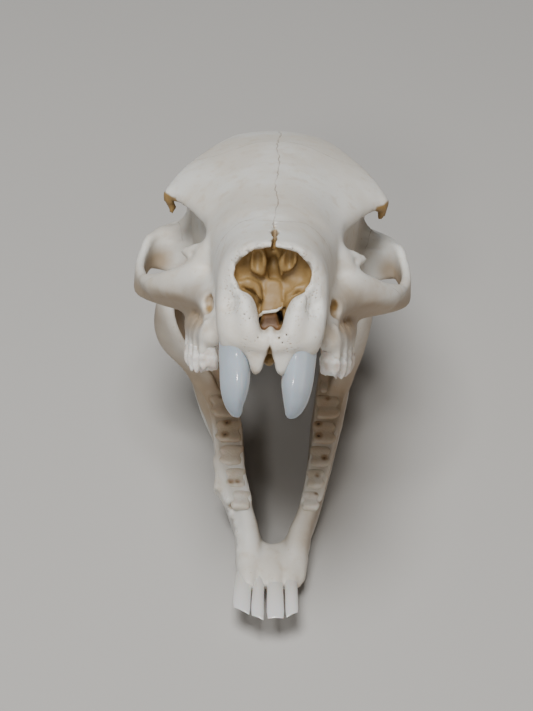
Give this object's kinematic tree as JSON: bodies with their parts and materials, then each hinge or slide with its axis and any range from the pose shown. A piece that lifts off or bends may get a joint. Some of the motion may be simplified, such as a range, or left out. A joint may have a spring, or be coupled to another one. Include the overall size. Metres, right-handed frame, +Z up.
{
  "type": "skull",
  "caption": "Dry skull of a small grazing mammal resting on its open lower jaw, with tusk-like upper incisors and ridged cheek teeth.",
  "frame": {"origin": "middle of the underside of the overall box, on the surface that the skull rests on", "axes": "+Z up, -Y towards the front of the snout, +X towards the skull's own left side"},
  "size_m": [0.0514, 0.0948, 0.0777],
  "materials": {
    "bone": "dry bone, matte",
    "enamel": "polished tooth enamel",
    "tooth": "worn tooth, semi-matte"
  },
  "bodies": {
    "root": {"cranium": "bone", "mandible": "bone", "upper_incisor_left": "enamel", "lower_incisor_1_left": "enamel", "lower_incisor_2_left": "enamel", "upper_p1_left": "tooth", "upper_p2_left": "tooth", "upper_p3_left": "tooth", "upper_p4_left": "tooth", "upper_m1_left": "tooth", "upper_m2_left": "tooth", "upper_m3_left": "tooth", "lower_p1_left": "tooth", "lower_p2_left": "tooth", "lower_p3_left": "tooth", "lower_p4_left": "tooth", "lower_m1_left": "tooth", "lower_m2_left": "tooth", "lower_m3_left": "tooth", "upper_incisor_right": "enamel", "lower_incisor_1_right": "enamel", "lower_incisor_2_right": "enamel", "upper_p1_right": "tooth", "upper_p2_right": "tooth", "upper_p3_right": "tooth", "upper_p4_right": "tooth", "upper_m1_right": "tooth", "upper_m2_right": "tooth", "upper_m3_right": "tooth", "lower_p1_right": "tooth", "lower_p2_right": "tooth", "lower_p3_right": "tooth", "lower_p4_right": "tooth", "lower_m1_right": "tooth", "lower_m2_right": "tooth", "lower_m3_right": "tooth"}
  },
  "joints": []
}
